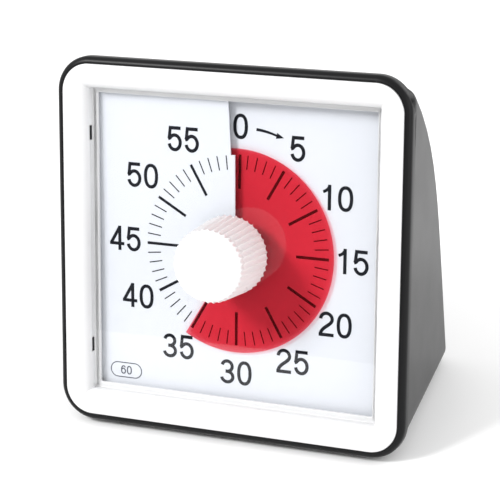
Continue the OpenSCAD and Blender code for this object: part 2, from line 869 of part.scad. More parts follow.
module circuit_board() {
  color([0.1, 0.4, 0.2]) at_dial() translate([0, 0, back_plate_z]) linear_extrude(board_t)
    translate(board_at) square(board_size);
}

module quartz_crystal() {
  color([0.78, 0.79, 0.8]) at_dial()
    translate([crystal_at[0], crystal_at[1], back_plate_z + board_t + crystal_r]) rotate([0, 90, 0])
      rod(crystal_r, 0, crystal_l);
}

// ---- battery, switch and buzzer ----

module battery() {
  color([0.2, 0.22, 0.25]) at_back() translate([0, battery_y, battery_z]) rotate([0, 90, 0]) {
    rod(battery_r, -battery_l / 2, battery_l / 2 - 1);
    rod(2.7, battery_l / 2 - 1.1, battery_l / 2);
  }
}

module battery_cradle() {
  color([0.16, 0.16, 0.17]) at_back() difference() {
    union() {
      translate([-cradle_l / 2 - cradle_wall, battery_y - cradle_r - cradle_wall, cradle_back_z])
        cube([cradle_l + 2 * cradle_wall, 2 * (cradle_r + cradle_wall), back_in_z - 1 - cradle_back_z]);
      translate([-cradle_l / 2 - cradle_wall - flange_w, battery_y - flange_l / 2, back_in_z - flange_t])
        cube([cradle_l + 2 * (cradle_wall + flange_w), flange_l, flange_t - seat_gap]);
    }
    translate([-cradle_l / 2, battery_y, battery_z]) rotate([0, 90, 0])
      rod(cradle_r, 0, cradle_l);
    translate([-cradle_l / 2, battery_y - cradle_r, battery_z])
      cube([cradle_l, 2 * cradle_r, 2 * battery_r]);
  }
}

contact_t = 0.4;

// A dished leaf of sheet metal that presses on the battery's flat end
module contact_spring() {
  reach = contact_room - contact_t - gap;
  color([0.8, 0.8, 0.8]) at_back()
    translate([-battery_l / 2 - gap, battery_y, battery_z]) rotate([0, -90, 0]) {
      rotate_extrude() polygon([
        [0, 0], [2, 0], [4.8, reach + 0.1], [4.8 - contact_t, reach + 0.1], [1.8, contact_t], [0, contact_t]
      ]);
      rod(5, reach, contact_room - gap);
    }
}

module contact_plate() {
  color([0.8, 0.8, 0.8]) at_back() translate([battery_l / 2, battery_y, battery_z]) rotate([0, 90, 0]) {
    rod(5, contact_room - contact_t, contact_room);
    rod(2, 0, contact_room - contact_t);
  }
}

module battery_door() {
  color([0.13, 0.13, 0.14]) at_back() difference() {
    union() {
      translate([-door_w / 2, door_y, case_edge - door_t])
        cube([door_w, door_h - knuckle_r - door_gap, door_t]);
      translate([0, door_y, case_edge - knuckle_r]) rotate([0, 90, 0]) {
        rod(knuckle_r, -door_w / 2, door_w / 2);
        rod(door_pin_r, -door_w / 2 - lug_w + 0.4, door_w / 2 + lug_w - 0.4);
      }
    }
    // Finger notch in the upper edge
    translate([0, door_y + door_h - knuckle_r, case_edge + 1]) rotate([0, 90, 0]) rod(2.4, -9, 9);
  }
}

slider_t = 1.4;
cheek_w = 1.2;
switch_w = 10;
switch_l = 16;
switch_d = 5;
slider_z = back_in_z - slider_t - gap;
slider_w = switch_w - 2 * (cheek_w + gap);
slider_l = 10;

module alarm_switch() {
  color([0.9, 0.9, 0.9]) at_back() translate([switch_x, switch_y - switch_travel / 2, 0]) {
    block([-slider_w / 2, -slider_l / 2, slider_z], [slider_w / 2, slider_l / 2, back_in_z - gap]);
    block([-1.6, -2, slider_z], [1.6, 2, case_edge + 1.2]);
    for (y = [-1.2, 0, 1.2]) block([-1.6, y - 0.25, case_edge + 1.1], [1.6, y + 0.25, case_edge + 1.5]);
  }
}

module switch_body() {
  color([0.25, 0.25, 0.27]) at_back() translate([switch_x, switch_y, 0]) {
    translate([0, 0, slider_z - gap - switch_d / 2]) cube([switch_w, switch_l, switch_d], center = true);
    both_sides() block([switch_w / 2 - cheek_w, -switch_l / 2, slider_z - gap - 1],
      [switch_w / 2, switch_l / 2, back_in_z - seat_gap]);
  }
}

module buzzer() {
  color([0.12, 0.12, 0.12]) translate(buzzer_place) difference() {
    rod(buzzer_r, 0, buzzer_h);
    rod(buzzer_r - 1.5, -1, 1);
  }
}

// A lead as straight runs with round bends
module lead(points, r) {
  for (i = [0:len(points) - 2]) let (d = points[i + 1] - points[i], n = norm(d))
    translate(points[i]) rotate([0, acos(d[2] / n), atan2(d[1], d[0])]) cylinder(r = r, h = n, $fn = 16);
  for (i = [1:len(points) - 2]) translate(points[i]) sphere(1.1 * r, $fn = 24);
}

lead_r = 0.6;
lead_x = movement_w / 2 - 4.5;

// Two leads that leave the movement's lower wall and go back to the battery
module lead_wires() {
  color([0.7, 0.1, 0.1]) at_dial() both_sides()
    lead([
      [lead_x, -movement_w / 2 - seat_gap, movement_back_z + 4],
      [lead_x, -movement_w / 2 - 2.5, movement_back_z + 4],
      [lead_x, -movement_w / 2 - 4.5, movement_back_z + 2],
      [lead_x - 1.5, -movement_w / 2 - 8, movement_back_z - 8]
    ], lead_r);
}

rear_case();
bezel();
lens();
dial_card();
dial_ticks();
dial_numerals();
chassis_plate();
red_disc();
knob();
spindle();
movement_base();
movement_cover();
output_wheel();
wheel_c();
wheel_b();
wheel_a();
rotor();
clutch_spring();
stator();
coil();
circuit_board();
quartz_crystal();
battery();
battery_cradle();
contact_spring();
contact_plate();
battery_door();
buzzer();
alarm_switch();
switch_body();
lead_wires();
chassis_screws();
movement_screws();
rubber_feet();
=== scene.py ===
import json
import math

import bpy
from mathutils import Matrix, Vector


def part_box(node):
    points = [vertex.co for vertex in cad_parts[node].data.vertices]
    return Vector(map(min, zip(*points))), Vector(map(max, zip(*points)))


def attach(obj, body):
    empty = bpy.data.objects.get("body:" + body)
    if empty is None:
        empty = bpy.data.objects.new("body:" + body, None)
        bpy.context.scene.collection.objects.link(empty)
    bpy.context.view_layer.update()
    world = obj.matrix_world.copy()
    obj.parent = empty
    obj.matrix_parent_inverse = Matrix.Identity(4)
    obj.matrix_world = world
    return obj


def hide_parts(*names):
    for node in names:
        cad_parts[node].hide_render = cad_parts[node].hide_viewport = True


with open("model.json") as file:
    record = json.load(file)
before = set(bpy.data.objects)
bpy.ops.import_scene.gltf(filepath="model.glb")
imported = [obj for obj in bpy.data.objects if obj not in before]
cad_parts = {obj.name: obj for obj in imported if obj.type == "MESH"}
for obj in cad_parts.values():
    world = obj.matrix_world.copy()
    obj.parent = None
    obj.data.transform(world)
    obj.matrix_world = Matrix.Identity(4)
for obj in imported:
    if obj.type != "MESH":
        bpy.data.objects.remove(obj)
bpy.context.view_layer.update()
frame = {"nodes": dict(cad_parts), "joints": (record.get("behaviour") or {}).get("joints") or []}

MM = 0.001


# ---- places from the frame ----

def joint(name):
    return next(j for j in frame["joints"] if j["name"] == name)


# Dial space: X right, Y up the face, Z towards the reader, in millimetres from the dial's centre
turn = joint("knob_turn")
DIAL = Vector(turn["pos_m"])
INTO = Vector(turn["axis"]).normalized()
RIGHT = Vector((1, 0, 0))
UP = RIGHT.cross(INTO)
OUT = -INTO

# Directions of the back as seen from behind; the alarm switch slides up along it
BACK_UP = Vector(joint("switch_slide")["axis"]).normalized()
BACK_RIGHT = -RIGHT
BACK_OUT = BACK_RIGHT.cross(BACK_UP)


def columns(a, b, c, place):
    """The matrix that takes a, b and c as its axes and stands at place."""
    m = Matrix((a, b, c)).transposed().to_4x4()
    m.translation = place
    return m


DIAL_SPACE = columns(RIGHT * MM, UP * MM, OUT * MM, DIAL)
DIAL_FRAME = columns(RIGHT, UP, OUT, DIAL)      # the same directions in metres


def back_space(place):
    """Back space, X right, Y up and Z outwards in millimetres, with its origin at a place."""
    return columns(BACK_RIGHT * MM, BACK_UP * MM, BACK_OUT * MM, place)


def dial_box(node):
    """Lowest and highest corner of a CAD node in dial space."""
    to_dial = DIAL_SPACE.inverted()
    points = [to_dial @ v.co for v in frame["nodes"][node].data.vertices]
    return [Vector(pick(p[i] for p in points) for i in range(3)) for pick in (min, max)]


def linked(name, data):
    """A new object in the scene."""
    made = bpy.data.objects.new(name, data)
    bpy.context.scene.collection.objects.link(made)
    return made


# ---- camera ----

FRAME_SIDE = 500           # the photograph's width and height, in pixels
FOCAL = 1983.5             # focal length in pixels of that frame
SENSOR = 36.0              # the sensor's width in millimetres
NEAREST = 0.05             # the camera sees from here to FARTHEST, in metres
FARTHEST = 20
CAMERA_OFFSET = Vector((282.9, 169.3, 661.6))   # from the dial's centre, in dial space
CAMERA_TILT = math.radians(13.209)
CAMERA_SWING = math.radians(22.766)
CAMERA_ROLL = math.radians(0.386)


def make_camera():
    data = bpy.data.cameras.new("camera")
    data.sensor_width = SENSOR
    data.sensor_fit = "HORIZONTAL"
    data.lens = FOCAL / FRAME_SIDE * SENSOR
    data.clip_start = NEAREST
    data.clip_end = FARTHEST
    camera = linked("camera", data)
    # The photograph's axes (right, down, forward) seen from the face's (right, into, up)
    face = Matrix(((1, 0, 0), (0, 0, -1), (0, 1, 0)))
    seen = (Matrix.Rotation(CAMERA_ROLL, 3, "Z") @ Matrix.Rotation(CAMERA_TILT, 3, "X")
            @ Matrix.Rotation(CAMERA_SWING, 3, "Y") @ face)
    axes = Matrix((RIGHT, INTO, UP)).transposed()
    right, down, forward = (axes @ Vector(row) for row in seen)
    camera.matrix_world = columns(right, -down, -forward, DIAL_SPACE @ CAMERA_OFFSET)
    bpy.context.scene.camera = camera


make_camera()


# ---- light ----

ROOM_LIGHT = 1.0           # strength of the white surroundings

# Each lamp's place and aim in metres, the side of its square in metres and its power in watts
LAMPS = {
    "key": ((-0.6, -0.75, 0.9), (0, 0, 0.06), 0.3, 12.5),
    "fill": ((1.1, -0.25, 0.35), (0, 0, 0.07), 0.9, 4.0),
    "rear": ((0.7, 0.9, 0.7), (0, 0, 0.07), 0.8, 7.0),
}


def area_light(name, place, aim, side, power):
    data = bpy.data.lights.new(name, "AREA")
    data.shape = "RECTANGLE"
    data.size = side
    data.size_y = side
    data.energy = power
    light = linked(name, data)
    light.location = place
    light.rotation_euler = (Vector(aim) - Vector(place)).to_track_quat("-Z", "Y").to_euler()


def make_world(strength):
    world = bpy.data.worlds.new("studio")
    bpy.context.scene.world = world
    world.use_nodes = True
    background = world.node_tree.nodes["Background"]
    background.inputs["Color"].default_value = (1, 1, 1, 1)
    background.inputs["Strength"].default_value = strength


make_world(ROOM_LIGHT)
bpy.context.scene.view_settings.view_transform = "Standard"
for name, settings in LAMPS.items():
    area_light(name, *settings)


# ---- materials ----

# Scales of noise are in features per metre, distances of bump in metres
NOISE_LOW = 0.3            # a noise texture mostly keeps between these values
NOISE_HIGH = 0.7
TONE_SCALE = 22            # slow drift of a moulded piece's colour
GLOSS_SCALE = 60           # drift of its gloss
GRAIN_STRENGTH = 0.6
GRAIN_FINENESS = 0.6       # roughness of the grain's noise
COAT_ROUGHNESS = 0.12
BRUSH_SCALE = 900          # fine lines on metal
BRUSH_STRETCH = (1, 1, 0.08)
BRUSH_BUMP = (0.3, 0.00002)            # strength and distance
METAL_DRIFT = 0.08         # drift of metal's roughness either way
PANE_TINT = (0.997, 0.998, 0.998, 1)
PANE_INDEX = 1.45
PANE_WAVE_SCALE = 6
PANE_WAVE_BUMP = (0.02, 0.0001)
FILM_TINT = (0.968, 0.435, 0.495, 1)
FILM_SKIN_SHARE = 0.05     # share of the film's look that is its glossy skin
FILM_SKIN = ((0.62, 0.02, 0.03), (0.7, 0.03, 0.045))
FILM_TONE_SCALE = 30
FILM_GLOSS_SCALE = 120
FILM_GLOSS = (0.2, 0.34)   # least and greatest roughness of the skin
FILM_WAVE_SCALE = 25
FILM_WAVE_BUMP = (0.3, 0.0004)


def new_material(name):
    material = bpy.data.materials.new(name)
    material.use_nodes = True
    nodes = material.node_tree.nodes
    nodes.clear()
    return material, nodes, material.node_tree.links


def added(nodes, kind, inputs):
    """A new shader node with some of its inputs set."""
    made = nodes.new(kind)
    for name, value in inputs.items():
        made.inputs[name].default_value = value
    return made


def noise(nodes, links, scale, detail, rough=0.5, stretch=(1, 1, 1)):
    """A noise texture in the piece's own coordinates."""
    place = nodes.new("ShaderNodeTexCoord")
    mapping = added(nodes, "ShaderNodeMapping", {"Scale": stretch})
    texture = added(nodes, "ShaderNodeTexNoise", {"Scale": scale, "Detail": detail, "Roughness": rough})
    links.new(place.outputs["Object"], mapping.inputs["Vector"])
    links.new(mapping.outputs["Vector"], texture.inputs["Vector"])
    return texture.outputs["Fac"]


def spread(nodes, links, value, low, high):
    """A value from a texture, mapped onto a range."""
    ramp = added(nodes, "ShaderNodeMapRange", {
        "From Min": NOISE_LOW, "From Max": NOISE_HIGH, "To Min": low, "To Max": high})
    links.new(value, ramp.inputs["Value"])
    return ramp.outputs["Result"]


def tinted(nodes, links, value, low, high):
    """A colour between two, by a texture's value."""
    mix = nodes.new("ShaderNodeMix")
    mix.data_type = "RGBA"
    mix.inputs["A"].default_value = (*low, 1)
    mix.inputs["B"].default_value = (*high, 1)
    links.new(value, mix.inputs["Factor"])
    return mix.outputs["Result"]


def bumped(nodes, links, height, strength, distance):
    bump = added(nodes, "ShaderNodeBump", {"Strength": strength, "Distance": distance})
    links.new(height, bump.inputs["Height"])
    return bump.outputs["Normal"]


def blended(nodes, links, first, second):
    """A mix of two shaders; its Fac is the second one's share."""
    mix = nodes.new("ShaderNodeMixShader")
    links.new(first.outputs["BSDF"], mix.inputs[1])
    links.new(second.outputs["BSDF"], mix.inputs[2])
    return mix


def surfaced(material, nodes, links, shader):
    """The material with a shader's first output as its surface."""
    out = nodes.new("ShaderNodeOutputMaterial")
    links.new(shader.outputs[0], out.inputs["Surface"])
    return material


def moulded(name, colour, shift, roughness, grain, depth, coat=0.0, specular=0.5, drift=0.05):
    """Moulded plastic: fine grain of the mould, slow drift of tone and gloss.

    shift is the drift of the colour and drift that of the roughness, either way. grain is in
    features per metre and depth in metres.
    """
    material, nodes, links = new_material(name)
    shader = added(nodes, "ShaderNodeBsdfPrincipled", {
        "Coat Weight": coat, "Coat Roughness": COAT_ROUGHNESS, "Specular IOR Level": specular})
    tone = noise(nodes, links, TONE_SCALE, detail=2)
    gloss = noise(nodes, links, GLOSS_SCALE, detail=4)
    fine = noise(nodes, links, grain, detail=3, rough=GRAIN_FINENESS)
    low = tuple(max(0.0, c - s) for c, s in zip(colour, shift))
    high = tuple(min(1.0, c + s) for c, s in zip(colour, shift))
    links.new(tinted(nodes, links, tone, low, high), shader.inputs["Base Color"])
    links.new(spread(nodes, links, gloss, roughness - drift, roughness + drift),
              shader.inputs["Roughness"])
    links.new(bumped(nodes, links, fine, GRAIN_STRENGTH, depth), shader.inputs["Normal"])
    return surfaced(material, nodes, links, shader)


def metal(name, colour, roughness):
    """Metal with fine drawn lines."""
    material, nodes, links = new_material(name)
    shader = added(nodes, "ShaderNodeBsdfPrincipled", {"Base Color": (*colour, 1), "Metallic": 1.0})
    lines = noise(nodes, links, BRUSH_SCALE, detail=2, stretch=BRUSH_STRETCH)
    links.new(spread(nodes, links, lines, roughness - METAL_DRIFT, roughness + METAL_DRIFT),
              shader.inputs["Roughness"])
    links.new(bumped(nodes, links, lines, *BRUSH_BUMP), shader.inputs["Normal"])
    return surfaced(material, nodes, links, shader)


def clear_plastic(name):
    """A polished pane: it lets the card show and mirrors the room more at a slant."""
    material, nodes, links = new_material(name)
    through = added(nodes, "ShaderNodeBsdfTransparent", {"Color": PANE_TINT})
    gloss = added(nodes, "ShaderNodeBsdfGlossy", {"Color": (1, 1, 1, 1), "Roughness": 0.0})
    waves = noise(nodes, links, PANE_WAVE_SCALE, detail=1)
    links.new(bumped(nodes, links, waves, *PANE_WAVE_BUMP), gloss.inputs["Normal"])
    fresnel = added(nodes, "ShaderNodeFresnel", {"IOR": PANE_INDEX})
    # Only the outer side of a face mirrors; seen from inside the pane it is clear
    side = nodes.new("ShaderNodeNewGeometry")
    outer = added(nodes, "ShaderNodeMath", {0: 1.0})
    outer.operation = "SUBTRACT"
    links.new(side.outputs["Backfacing"], outer.inputs[1])
    share = nodes.new("ShaderNodeMath")
    share.operation = "MULTIPLY"
    links.new(fresnel.outputs["Fac"], share.inputs[0])
    links.new(outer.outputs["Value"], share.inputs[1])
    mix = blended(nodes, links, through, gloss)
    links.new(share.outputs["Value"], mix.inputs["Fac"])
    return surfaced(material, nodes, links, mix)


def red_film(name):
    """Red see-through film: white card behind it turns red and black ink stays dark."""
    material, nodes, links = new_material(name)
    through = added(nodes, "ShaderNodeBsdfTransparent", {"Color": FILM_TINT})
    skin = nodes.new("ShaderNodeBsdfPrincipled")
    tone = noise(nodes, links, FILM_TONE_SCALE, detail=3)
    gloss = noise(nodes, links, FILM_GLOSS_SCALE, detail=3)
    waves = noise(nodes, links, FILM_WAVE_SCALE, detail=1)
    links.new(tinted(nodes, links, tone, *FILM_SKIN), skin.inputs["Base Color"])
    links.new(spread(nodes, links, gloss, *FILM_GLOSS), skin.inputs["Roughness"])
    links.new(bumped(nodes, links, waves, *FILM_WAVE_BUMP), skin.inputs["Normal"])
    mix = blended(nodes, links, through, skin)
    mix.inputs["Fac"].default_value = FILM_SKIN_SHARE
    return surfaced(material, nodes, links, mix)


def even(v):
    return (v, v, v)


# Colour, its drift, roughness, grain and depth of the grain
CASE = moulded("case_black", (0.006, 0.006, 0.0065), even(0.0015), 0.34, 2600, 0.00002,
               specular=0.14, drift=0.012)
BEZEL = moulded("bezel_white", (0.67, 0.67, 0.675), even(0.002), 0.36, 3200, 0.000001,
                specular=0.4, drift=0.01)
KNOB = moulded("knob_white", (0.76, 0.755, 0.755), even(0.012), 0.3, 1500, 0.000004, coat=0.2)
CARD = moulded("dial_card_white", (0.63, 0.65, 0.695), even(0.002), 0.55, 5000, 0.000002)
INK = moulded("ink_black", (0.01, 0.011, 0.015), even(0.002), 0.5, 6000, 0.000003, specular=0.08)
PALE = moulded("acetal", (0.72, 0.71, 0.66), even(0.02), 0.42, 1200, 0.000008)
DARK = moulded("dark_plastic", (0.035, 0.035, 0.038), even(0.008), 0.5, 2200, 0.00002)
RUBBER = moulded("foot_rubber", even(0.02), even(0.006), 0.75, 3000, 0.00004)
BOARD = moulded("board_green", (0.02, 0.13, 0.05), (0.008, 0.02, 0.01), 0.35, 900, 0.00001, coat=0.3)
CELL = moulded("battery_sleeve", (0.05, 0.07, 0.12), (0.01, 0.01, 0.015), 0.28, 700, 0.000006,
               coat=0.3)
LEAD = moulded("lead_red", (0.42, 0.02, 0.02), (0.03, 0.005, 0.005), 0.45, 1800, 0.00001)
LABEL_INK = moulded("ink_blue_grey", (0.045, 0.052, 0.075), even(0.01), 0.5, 6000, 0.000003)
STEEL = metal("plated_steel", (0.62, 0.62, 0.64), 0.3)
COPPER = metal("copper_winding", (0.7, 0.3, 0.13), 0.35)
LENS = clear_plastic("lens_clear")
FILM = red_film("red_film")

LOOKS = {
    "rear_case": CASE, "bezel": BEZEL, "lens": LENS, "dial_card": CARD, "dial_ticks": INK,
    "dial_numerals": INK, "chassis_plate": DARK, "red_disc": FILM, "knob": KNOB, "spindle": PALE,
    "movement_base": PALE, "movement_cover": PALE, "output_wheel": PALE, "wheel_c": PALE,
    "wheel_b": PALE, "wheel_a": PALE, "rotor": DARK, "clutch_spring": STEEL, "stator": STEEL,
    "coil": COPPER, "circuit_board": BOARD, "quartz_crystal": STEEL, "battery": CELL,
    "battery_cradle": DARK, "contact_spring": STEEL, "contact_plate": STEEL, "battery_door": CASE,
    "buzzer": DARK, "alarm_switch": KNOB, "switch_body": DARK, "lead_wires": LEAD,
    "chassis_screws": STEEL, "movement_screws": STEEL, "rubber_feet": RUBBER,
}

for node, look in LOOKS.items():
    materials = frame["nodes"][node].data.materials
    materials.clear()
    materials.append(look)

CLIP_REACH = 0.0006        # how far the lens's clips stand out past the window's walls, in metres
NUB_END = 0.0013           # length of the battery's bare nub, in metres
BASE_END = 0.0002          # length of its bare base


def second_look(node, look, chosen):
    """Gives a CAD node a second material, on the faces whose centres are chosen."""
    data = frame["nodes"][node].data
    data.materials.append(look)
    for polygon in data.polygons:
        if chosen(polygon.center):
            polygon.material_index = 1


def dress_lens():
    """Painted shade: the lens's clear clips stand in deep slots of the bezel, and their faces take the
    dark plastic look in place of the slots' shade.
    """
    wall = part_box("lens")[1].x - CLIP_REACH
    # painted shade on the clear clip faces past the window's walls
    second_look("lens", DARK, lambda centre: abs(centre.x) > wall)


def dress_battery():
    """Bare metal on the battery's ends."""
    low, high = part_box("battery")
    nub, base = low.x + NUB_END, high.x - BASE_END
    second_look("battery", STEEL, lambda centre: centre.x < nub or centre.x > base)


dress_lens()
dress_battery()


# ---- edges of the CAD pieces ----

WELD_REACH = 0.000002      # points closer than this, in metres, become one

# Least angle of a rounded edge in degrees, its mitre, whether sharp edges stay sharp to the eye,
# and what the shading is weighted by and how much
PLAIN = (35, "MITER_ARC", True, "FACE_AREA", 60)
SHELL = (55, "MITER_SHARP", False, "CORNER_ANGLE", 50)     # hides the strips of the curved back

# Width of each node's rounded edges in millimetres
EDGES = {
    "bezel": 0.35, "lens": 0.12, "battery_door": 0.3, "alarm_switch": 0.12, "rubber_feet": 0.4,
    "battery_cradle": 0.15, "buzzer": 0.2, "movement_base": 0.2, "movement_cover": 0.15,
    "chassis_plate": 0.2, "battery": 0.2, "circuit_board": 0.05, "switch_body": 0.15,
}
CASE_EDGE = 0.1


def soften(node, width, style):
    """Rounds the sharp edges of a CAD node a little and shades its curved faces smooth."""
    angle, miter, keep_sharp, weighting, weight = style
    part = frame["nodes"][node]
    if "custom_normal" in part.data.attributes:
        part.data.attributes.remove(part.data.attributes["custom_normal"])
    for polygon in part.data.polygons:
        polygon.use_smooth = True
    weld = part.modifiers.new("weld", "WELD")
    weld.merge_threshold = WELD_REACH
    bevel = part.modifiers.new("bevel", "BEVEL")
    bevel.width = width * MM
    bevel.segments = 2
    bevel.limit_method = "ANGLE"
    bevel.angle_limit = math.radians(angle)
    bevel.use_clamp_overlap = False
    bevel.miter_outer = miter
    normals = part.modifiers.new("normals", "WEIGHTED_NORMAL")
    normals.keep_sharp = keep_sharp
    normals.mode = weighting
    normals.weight = weight


soften("rear_case", CASE_EDGE, SHELL)
for node, width in EDGES.items():
    soften(node, width, PLAIN)


# ---- pieces ----

SHARP = 30                 # edges of a piece sharper than this many degrees stay sharp to the eye
TIP_SHARE = 0.02           # the last ring of a dome or a screw's head, as a share of its radius
ALONG = 0.99               # cosine from which a tube's side direction counts as along the tube


def piece(name, points, faces, look, body, replaced=(), space=DIAL_SPACE, sharp=SHARP):
    """A mesh piece whose points are given in millimetres of a space, riding on a body."""
    mesh = bpy.data.meshes.new(name)
    mesh.from_pydata([space @ Vector(p) for p in points], [], faces)
    mesh.validate()
    mesh.materials.append(look)
    mesh.shade_smooth()
    mesh.set_sharp_from_angle(angle=math.radians(sharp))
    made = linked(name, mesh)
    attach(made, body)
    if replaced:
        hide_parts(*replaced)
    return made


def merged(*parts):
    """Several sets of points and faces as one."""
    points, faces = [], []
    for some_points, some_faces in parts:
        faces += [tuple(i + len(points) for i in f) for f in some_faces]
        points += some_points
    return points, faces


def shifted(part, offset):
    points, faces = part
    return [tuple(Vector(p) + Vector(offset)) for p in points], faces


def circle(radius, z, sides):
    turns = (2 * math.pi * k / sides for k in range(sides))
    return [(radius * math.cos(a), radius * math.sin(a), z) for a in turns]


def ring_faces(rings, count):
    """Faces between closed rings of points that follow each other."""
    return [
        (r * count + c, r * count + (c + 1) % count,
         (r + 1) * count + (c + 1) % count, (r + 1) * count + c)
        for r in range(rings - 1) for c in range(count)
    ]


def end_faces(rings, count):
    """The first and the last ring as faces, in the order of their points."""
    return tuple(range(count)), tuple(range((rings - 1) * count, rings * count))


def flipped(faces):
    return [tuple(reversed(f)) for f in faces]


def lathe(profile, sides=48):
    """Points and faces of a closed turned shape; the profile is (r, z) from the axis out and back."""
    points = [p for r, z in profile for p in circle(r, z, sides)]
    return points, ring_faces(len(profile), sides)


def dome(radius, height, rings=6, sides=20):
    """A low dome that stands on z = 0."""
    angles = (math.radians(90 * i / rings) for i in range(rings))
    profile = [(radius * math.cos(a), height * math.sin(a)) for a in angles]
    return lathe(profile + [(radius * TIP_SHARE, height)], sides)


def brick(size):
    x, y, z = (v / 2 for v in size)
    points = [(i * x, j * y, k * z) for i in (-1, 1) for j in (-1, 1) for k in (-1, 1)]
    faces = [(0, 1, 3, 2), (4, 6, 7, 5), (0, 4, 5, 1), (2, 3, 7, 6), (0, 2, 6, 4), (1, 5, 7, 3)]
    return points, faces


def tube(route, radius, sides):
    """Points and faces of a round tube along a route of close points."""
    points = []
    last = len(route) - 1
    side = Vector((0, 0, 1))
    for i, here in enumerate(route):
        ahead = (Vector(route[min(i + 1, last)]) - Vector(route[max(i - 1, 0)])).normalized()
        if abs(side.dot(ahead)) < ALONG:
            side = (side - ahead * side.dot(ahead)).normalized()
        else:
            side = ahead.orthogonal().normalized()
        other = ahead.cross(side)
        for k in range(sides):
            a = 2 * math.pi * k / sides
            points.append(tuple(Vector(here) + radius * (math.cos(a) * side + math.sin(a) * other)))
    start, end = end_faces(len(route), sides)
    return points, ring_faces(len(route), sides) + flipped([start]) + [end]


# ---- film and card ----

PITCH = 3.0                # rise of the film and the card over a full turn
FILM_R = dial_box("red_disc")[1].x
FILM_HOLE = 8.15
FILM_ANGLE = 211.2         # dial angle of the film's leading edge: a little over 35 minutes
FILM_SWEEP = 359           # dial angle that the film covers
FILM_T = 0.3
CARD_CORNER = dial_box("dial_card")[1]
CARD_LIFT = -PITCH / 2
CARD_T = 0.6
CARD_HOLE = 9.5
SLIT_R = 36.5              # outside this radius the slit is wider
CARD_EDGE_IN = 359.5       # dial angles at which the upper lip of the slit ends
CARD_EDGE_OUT = 356.9
CARD_START = -6.0          # the lower lip runs on below the upper one
SHEET_STEPS = 240
TINY = 1e-6                # keeps a division away from zero


def rise(angle):
    return PITCH * angle / 360


def polar(radius, angle, z=0.0):
    """A point at a dial angle, in degrees clockwise from the top."""
    a = math.radians(angle)
    return (radius * math.sin(a), radius * math.cos(a), z)


def screw_sheet(radii, start, end, thick, lift):
    """A thin sheet on a screw surface; radii(angle) gives its inner and outer edge."""
    points = []
    for i in range(SHEET_STEPS + 1):
        angle = start + (end - start) * i / SHEET_STEPS
        inner, outer = radii(angle)
        z = rise(angle) + lift
        points += [polar(inner, angle, z - thick / 2), polar(outer, angle, z - thick / 2),
                   polar(outer, angle, z + thick / 2), polar(inner, angle, z + thick / 2)]
    first, last = end_faces(SHEET_STEPS + 1, 4)
    return points, flipped(ring_faces(SHEET_STEPS + 1, 4)) + [first] + flipped([last])


def card_reach(angle):
    """Distance from the centre to the card's straight edge at a dial angle."""
    a = math.radians(angle)
    return min(CARD_CORNER.x / max(abs(math.sin(a)), TINY), CARD_CORNER.y / max(abs(math.cos(a)), TINY))


def make_film():
    points, faces = screw_sheet(lambda a: (FILM_HOLE, FILM_R), FILM_ANGLE - FILM_SWEEP, FILM_ANGLE,
                                FILM_T, 0)
    piece("film_disc", points, faces, FILM, "disc", ["red_disc"])


def make_card():
    points, faces = merged(
        screw_sheet(lambda a: (CARD_HOLE, SLIT_R), CARD_START, CARD_EDGE_IN, CARD_T, CARD_LIFT),
        screw_sheet(lambda a: (SLIT_R, card_reach(a)), CARD_START, CARD_EDGE_OUT, CARD_T, CARD_LIFT))
    piece("printed_card", points, faces, CARD, "housing", ["dial_card"])


make_film()
make_card()


# ---- print on the card ----

INK_T = 0.04
INK_GAP = 0.01             # between the card and the print
INK_LIFT = CARD_LIFT + CARD_T / 2 + INK_GAP


def ink_height(x, y, near):
    """Height of the print's foot at a point, on the turn of the screw that is near an angle."""
    angle = math.degrees(math.atan2(x, y))
    angle += 360 * round((near - angle) / 360)
    return rise(angle) + INK_LIFT


def strip(points, width):
    """Left and right edges of a stroke of even width along a row of points."""
    edges = []
    last = len(points) - 1
    for i, (x, y) in enumerate(points):
        ax, ay = points[max(i - 1, 0)]
        bx, by = points[min(i + 1, last)]
        length = math.hypot(bx - ax, by - ay)
        nx, ny = -(by - ay) / length * width / 2, (bx - ax) / length * width / 2
        edges.append(((x + nx, y + ny), (x - nx, y - ny)))
    return edges


def laid(strips, near):
    """Strips of flat print as points and faces that lie on the card."""
    parts = []
    for edges in strips:
        points = []
        for left, right in edges:
            for x, y in (left, right):
                z = ink_height(x, y, near)
                points += [(x, y, z), (x, y, z + INK_T)]
        faces = []
        for i in range(len(edges) - 1):
            a, b = 4 * i, 4 * i + 4
            faces += [(a + 1, a + 3, b + 3, b + 1), (a, b, b + 2, a + 2), (a, a + 1, b + 1, b),
                      (a + 2, b + 2, b + 3, a + 3)]
        end = 4 * (len(edges) - 1)
        faces += [(0, 2, 3, 1), (end, end + 1, end + 3, end + 2)]
        parts.append((points, faces))
    return merged(*parts)


def moved(strips, dx, dy):
    return [[((a[0] + dx, a[1] + dy), (b[0] + dx, b[1] + dy)) for a, b in edges] for edges in strips]


def scaled(strips, k):
    return [[((a[0] * k, a[1] * k), (b[0] * k, b[1] * k)) for a, b in edges] for edges in strips]


def arc(cx, cy, rx, ry, start, end, steps=20):
    angles = (math.radians(start + (end - start) * i / steps) for i in range(steps + 1))
    return [(cx + rx * math.cos(a), cy + ry * math.sin(a)) for a in angles]


def bend(a, b, c, d, steps=10):
    """A cubic curve from a to d."""
    made = []
    for i in range(steps + 1):
        t = i / steps
        w = ((1 - t) ** 3, 3 * t * (1 - t) ** 2, 3 * t * t * (1 - t), t ** 3)
        made.append(tuple(sum(k * p[axis] for k, p in zip(w, (a, b, c, d))) for axis in range(2)))
    return made


